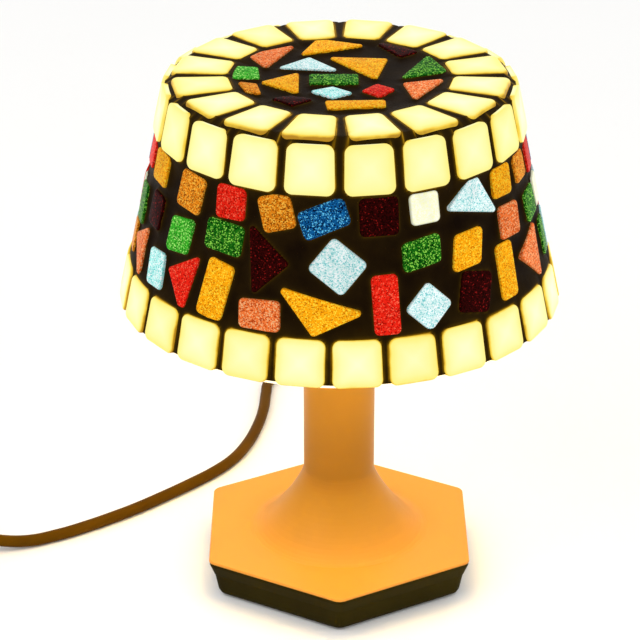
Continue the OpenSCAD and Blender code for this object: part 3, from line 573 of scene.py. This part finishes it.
class LAMP_OT_stage(bpy.types.Operator):
    """Table, camera and soft studio light"""

    bl_idname = "lamp.stage"
    bl_label = "Stage"

    def execute(self, context):
        stage = settings("lamp_stage")
        scene = context.scene
        scene.view_settings.view_transform = "Standard"
        self.table(stage)
        self.camera(scene, stage)
        self.room(scene, stage)
        self.soft_light("key", stage.key_power, 1.2, (-0.9, -0.7, 1.5))
        self.soft_light("fill", stage.key_power * 0.4, 1.4, (1.2, -0.5, 1.1))
        return {"FINISHED"}

    def table(self, stage):
        clear_selection()
        bpy.ops.mesh.primitive_plane_add(size=stage.table_side, location=(0, 0, 0))
        table = bpy.context.object
        table.name = "table"
        surface = Surface("table_top", Roughness=0.7, Specular_IOR_Level=0.2)
        pale = tuple(stage.table_colour)
        surface.into("Base Color", surface.ramp(
            surface.noise(3, 3), [(0.3, tuple(0.985 * c for c in pale)), (0.7, pale)]))
        table.data.materials.append(surface.material)

    def camera(self, scene, stage):
        lens = bpy.data.cameras.new("camera")
        lens.lens = stage.camera_lens
        lens.sensor_width = 36.0
        lens.clip_end = 50.0
        camera = bpy.data.objects.new("camera", lens)
        scene.collection.objects.link(camera)
        camera.location = stage.camera_place
        camera.rotation_euler = (math.pi / 2 - stage.camera_tilt, 0, 0)
        scene.camera = camera

    def room(self, scene, stage):
        world = bpy.data.worlds.new("room")
        world.use_nodes = True
        back = world.node_tree.nodes["Background"]
        back.inputs["Color"].default_value = (1.0, 0.995, 0.985, 1)
        back.inputs["Strength"].default_value = stage.sky_strength
        scene.world = world

    def soft_light(self, name, power, size, place):
        light = bpy.data.lights.new(name, "AREA")
        light.energy = power
        light.size = size
        lamp = bpy.data.objects.new(name, light)
        bpy.context.scene.collection.objects.link(lamp)
        lamp.location = place
        aim = Vector((0, 0, 0.1)) - Vector(place)
        lamp.rotation_euler = aim.to_track_quat("-Z", "Y").to_euler()


def coil_points(lead):
    """Two layers of turns: in along the table, out again on top of them."""
    turns = lead.coil_turns
    outer = lead.coil_radius + turns * COIL_PITCH / 2
    steps = round(turns * COIL_STEPS_A_TURN)
    points = []
    for layer in (0, 1):
        for k in range(steps + 1):
            share = k / steps
            inward = share if layer == 0 else 1 - share
            radius = outer - inward * turns * COIL_PITCH
            turned = (layer * turns + share * turns) * 2 * math.pi
            angle = -math.pi / 2 - turned
            climb = max(0.0, share - (1 - COIL_CLIMB)) / COIL_CLIMB * 0.5
            rise = climb if layer == 0 else 0.5 + 0.5 * min(1.0, share / COIL_CLIMB)
            if layer == 0 or k > 0:
                points.append(Vector((COIL_CENTRE.x + radius * math.cos(angle),
                                      COIL_CENTRE.y + radius * math.sin(angle),
                                      COIL_LOWEST + COIL_PITCH * rise)))
    return points


class LAMP_OT_lead(bpy.types.Operator):
    """Mains lead with its coil"""

    bl_idname = "lamp.lead"
    bl_label = "Lead"

    def execute(self, context):
        lead = settings("lamp_lead")
        route = [Vector(p) * MM for p in LEAD_ROUTE + SWITCH_PASSAGE + TAIL_ROUTE]
        route += coil_points(lead)[1:-1]
        route += [Vector(p) * MM for p in END_ROUTE]
        curve = bpy.data.curves.new("lead", "CURVE")
        curve.dimensions = "3D"
        spline = curve.splines.new("BEZIER")
        spline.bezier_points.add(len(route) - 1)
        for point, place in zip(spline.bezier_points, route):
            point.co = place
            point.handle_left_type = point.handle_right_type = "AUTO"
        spline.resolution_u = 5
        curve.bevel_depth = lead.diameter / 2 - LEAD_SLACK
        curve.bevel_resolution = 4
        curve.use_fill_caps = True
        curve.materials.append(lead_sheath())
        piece = bpy.data.objects.new("mains_lead", curve)
        context.scene.collection.objects.link(piece)
        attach(piece, "base")
        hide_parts("cord_lead", "cord_tail", "cord_coil", "cord_end")
        return {"FINISHED"}


def islands(obj):
    """The vertex numbers of each separate solid of a mesh."""
    count = len(obj.data.vertices)
    group = np.arange(count)
    edges = np.zeros(len(obj.data.edges) * 2, int)
    obj.data.edges.foreach_get("vertices", edges)
    a, b = edges.reshape(-1, 2).T
    while True:
        low = np.minimum(group[a], group[b])
        before = group.copy()
        np.minimum.at(group, a, low)
        np.minimum.at(group, b, low)
        group = group[group]
        if (group == before).all():
            break
    return [np.flatnonzero(group == g) for g in np.unique(group)]


def outward(centre):
    """Direction that a shade piece faces: up on the crown, out on the side."""
    if centre.z > CROWN_Z:
        return Vector((0, 0, 1))
    side = Vector((centre.x, centre.y, 0)).normalized()
    return side * math.cos(LEAN) + Vector((0, 0, math.sin(LEAN)))


def looks_outward(smallest=0.0):
    """A test for faces that look out of the shade and are not too small."""
    def keep(face):
        return face.normal.dot(outward(face.center)) > OUTWARD and face.area > smallest
    return keep


def pillow(node, name, edge):
    """A copy of a node's flat pieces with rounded upper edges, a 'heart' that
    grows from 0 at each piece's outline to 1 at its middle, and a 'tone' that
    differs from piece to piece."""
    piece = cad_copy(node, name)
    select_faces(piece, looks_outward())
    bpy.ops.mesh.region_to_loop()
    bpy.ops.mesh.bevel(offset=edge, segments=4, profile=0.5, affect="EDGES",
                       clamp_overlap=True)
    bpy.ops.object.mode_set(mode="OBJECT")
    select_faces(piece, looks_outward(SMALLEST_FLAT))
    before = len(piece.data.vertices)
    bpy.ops.mesh.poke()
    bpy.ops.object.mode_set(mode="OBJECT")
    heart = np.zeros(len(piece.data.vertices))
    tone = np.zeros(len(piece.data.vertices))
    co = vertex_array(piece)
    for members in islands(piece):
        middle = members[members >= before]
        if not len(middle):
            raise RuntimeError(f"{name} has a piece without an upper face")
        n = np.array(outward(Vector(co[middle[0]])))
        depth = (co[members] @ n - co[middle[0]] @ n) / edge + 1
        heart[members] = 0.2 * np.clip(depth, 0, 1) ** 3
        heart[middle] = 1
        turn = sum(wave * v for wave, v in zip(TONE_WAVE, co[middle[0]] / MM))
        tone[members] = 0.5 + 0.5 * math.sin(turn)
    add_attribute(piece, "heart", heart)
    add_attribute(piece, "tone", tone)
    return piece


class LAMP_OT_border_tiles(bpy.types.Operator):
    """Pale opal tiles on the crown, the shoulder and the open rim"""

    bl_idname = "lamp.border_tiles"
    bl_label = "Border tiles"

    def execute(self, context):
        shade = settings("lamp_shade")
        material = opal_tile(shade.glow)
        for node in TILE_NODES:
            piece = pillow(node, "opal_" + node, shade.tile_edge)
            finish_piece(piece, "shade", material, GLASS_SMOOTH)
            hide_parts(node)
        return {"FINISHED"}


class LAMP_OT_glitter_pieces(bpy.types.Operator):
    """Coloured glitter glass pieces"""

    bl_idname = "lamp.glitter_pieces"
    bl_label = "Glitter pieces"

    def execute(self, context):
        shade = settings("lamp_shade")
        for colour in CHIP_COLOURS:
            piece = pillow("chips_" + colour, "glitter_" + colour, shade.chip_edge)
            finish_piece(piece, "shade",
                         glitter_glass(colour, shade.glow), GLASS_SMOOTH)
            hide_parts("chips_" + colour)
        return {"FINISHED"}


def joined_tree(objects):
    """A search tree over several meshes."""
    points, faces = [], []
    for obj in objects:
        first = len(points)
        points += [v.co.copy() for v in obj.data.vertices]
        faces += [[first + i for i in p.vertices] for p in obj.data.polygons]
    return BVHTree.FromPolygons(points, faces)


class LAMP_OT_mortar(bpy.types.Operator):
    """Mortar drawn up around every piece of glass"""

    bl_idname = "lamp.mortar"
    bl_label = "Mortar"

    def execute(self, context):
        shade = settings("lamp_shade")
        mortar = self.spun(context, self.profile())
        self.draw_up(mortar, shade)
        finish_piece(mortar, "shade", mortar_finish(shade.glow),
                     GLASS_SMOOTH)
        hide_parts("mortar_bed")
        return {"FINISHED"}

    def profile(self):
        """The shade's outline from the middle of the crown to the open rim."""
        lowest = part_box("mortar_bed")[0].z
        glass_low, glass_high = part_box("shade_glass")
        slope = (glass_high.x - CROWN_R) / (glass_high.z - glass_low.z)
        top = glass_high.z - CROWN_EDGE
        rings = np.arange(*MORTAR_CROWN_RINGS)
        points = [(r * MM, glass_high.z) for r in (0, *rings)]
        heights = [top - k / MORTAR_ROWS * (top - lowest) for k in range(MORTAR_ROWS + 1)]
        for z in (*heights, lowest):
            points.append((glass_high.x - (z - glass_low.z) * slope, z))
        return points

    def spun(self, context, points):
        """The outline turned once round the lamp's axis into a skin that is
        closed on the crown and ends at the rim."""
        clear_selection()
        mesh = bpy.data.meshes.new("mortar")
        mesh.from_pydata([(r, 0, z) for r, z in points],
                         [(k, k + 1) for k in range(len(points) - 1)], [])
        mortar = bpy.data.objects.new("mortar_joints", mesh)
        context.scene.collection.objects.link(mortar)
        make_active(mortar)
        bpy.ops.object.mode_set(mode="EDIT")
        bpy.ops.mesh.select_all(action="SELECT")
        bpy.ops.mesh.spin(steps=MORTAR_STEPS, angle=2 * math.pi, center=(0, 0, 0),
                          axis=(0, 0, 1))
        bpy.ops.mesh.select_all(action="SELECT")
        bpy.ops.mesh.remove_doubles(threshold=0.001 * MM)
        bpy.ops.mesh.normals_make_consistent(inside=False)
        bpy.ops.object.mode_set(mode="OBJECT")
        return mortar

    def draw_up(self, mortar, shade):
        """Raises the mortar beside the glass, tucks its lower edge in and keeps
        how near the lit glass is, as 'halo'."""
        tiles = joined_tree([bpy.data.objects["opal_" + n] for n in TILE_NODES])
        chips = joined_tree([bpy.data.objects["glitter_" + c] for c in CHIP_COLOURS])
        co = vertex_array(mortar)
        halo = np.zeros(len(co))
        tucked_below = co[:, 2].min() + TUCKED
        for k, place in enumerate(co):
            p = Vector(place)
            on_crown = p.z > CROWN_Z - CROWN_EDGE / 2
            n = Vector((0, 0, 1)) if on_crown else outward(p)
            probe = p + n * PROBE
            to_tile = tiles.find_nearest(probe)[3]
            to_chip = chips.find_nearest(probe)[3]
            by_tile = shade.mortar_tile * math.exp(-(to_tile / FALL_TILE) ** 2)
            by_chip = shade.mortar_chip * math.exp(-to_chip / FALL_CHIP)
            height = shade.mortar_open + max(by_tile, by_chip)
            co[k] = p + n * (height if p.z > tucked_below else TUCKED)
            glow = math.exp(-to_tile / GLOW_TILE)
            faint = 0.6 * math.exp(-to_chip / GLOW_CHIP)
            haze = 0.35 * math.exp(-to_tile / HAZE_TILE)
            halo[k] = max(glow, faint, haze)
        mortar.data.vertices.foreach_set("co", co.ravel())
        mortar.data.update()
        add_attribute(mortar, "halo", halo)


# Moulded pieces whose edges are rounded: body and rounding
SOFTENED = {
    "switch_lower": ("base", 1.2 * MM),
    "switch_upper": ("base", 1.2 * MM),
    "switch_rocker": ("rocker", 0.6 * MM),
    "plug_body": ("base", 1.0 * MM),
    "coil_tie": ("base", 0.4 * MM),
    "ring_nut": ("base", 0.5 * MM),
}


class LAMP_OT_mouldings(bpy.types.Operator):
    """Switch, plug and other mouldings with rounded edges"""

    bl_idname = "lamp.mouldings"
    bl_label = "Mouldings"

    def execute(self, context):
        finishes = slot_finishes()
        for node, (body, radius) in SOFTENED.items():
            piece = cad_copy(node, node + "_moulding")
            bevel = piece.modifiers.new("edges", "BEVEL")
            bevel.width = radius
            bevel.segments = 3
            bevel.limit_method = "ANGLE"
            bevel.angle_limit = math.radians(50)
            bevel.use_clamp_overlap = True
            make_active(piece)
            bpy.ops.object.modifier_apply(modifier=bevel.name)
            slot = node_slot(node)
            finish_piece(piece, body, finishes[slot], MOULDING_SMOOTH)
            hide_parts(node)
        return {"FINISHED"}


def node_slot(node):
    """The record's material slot of a CAD node."""
    subparts = frame["record"]["subparts"]
    return next(part["material_slot"] for part in subparts if part["node"] == node)


class LAMP_OT_finishes(bpy.types.Operator):
    """Finishes of the pieces that the frame already has in their right shape"""

    bl_idname = "lamp.finishes"
    bl_label = "Finishes"

    def execute(self, context):
        finishes = slot_finishes()
        for node, obj in frame["nodes"].items():
            if obj.hide_render:
                continue
            obj.data.materials.clear()
            obj.data.materials.append(finishes[node_slot(node)])
        return {"FINISHED"}


class LAMP_PT_panel(bpy.types.Panel):
    """Lists the steps that build the lamp"""

    bl_label = "Mosaic Glass Table Lamp"
    bl_idname = "LAMP_PT_panel"
    bl_space_type = "VIEW_3D"
    bl_region_type = "UI"
    bl_category = "Lamp"

    def draw(self, context):
        for step in STEPS:
            self.layout.operator(step.bl_idname)


SETTINGS = {
    "lamp_stage": LampStageSettings,
    "lamp_shade": LampShadeSettings,
    "lamp_lead": LampLeadSettings,
}
STEPS = (
    LAMP_OT_stage,
    LAMP_OT_mouldings,
    LAMP_OT_lead,
    LAMP_OT_border_tiles,
    LAMP_OT_glitter_pieces,
    LAMP_OT_mortar,
    LAMP_OT_finishes,
)


def register():
    for cls in (*SETTINGS.values(), *STEPS, LAMP_PT_panel):
        bpy.utils.register_class(cls)
    for name, cls in SETTINGS.items():
        setattr(bpy.types.Scene, name, bpy.props.PointerProperty(type=cls))


def unregister():
    for name in SETTINGS:
        delattr(bpy.types.Scene, name)
    for cls in (LAMP_PT_panel, *reversed(STEPS), *reversed(SETTINGS.values())):
        bpy.utils.unregister_class(cls)


def main():
    register()
    for step in STEPS:
        group, name = step.bl_idname.split(".")
        getattr(getattr(bpy.ops, group), name)()


if __name__ == "__main__":
    main()
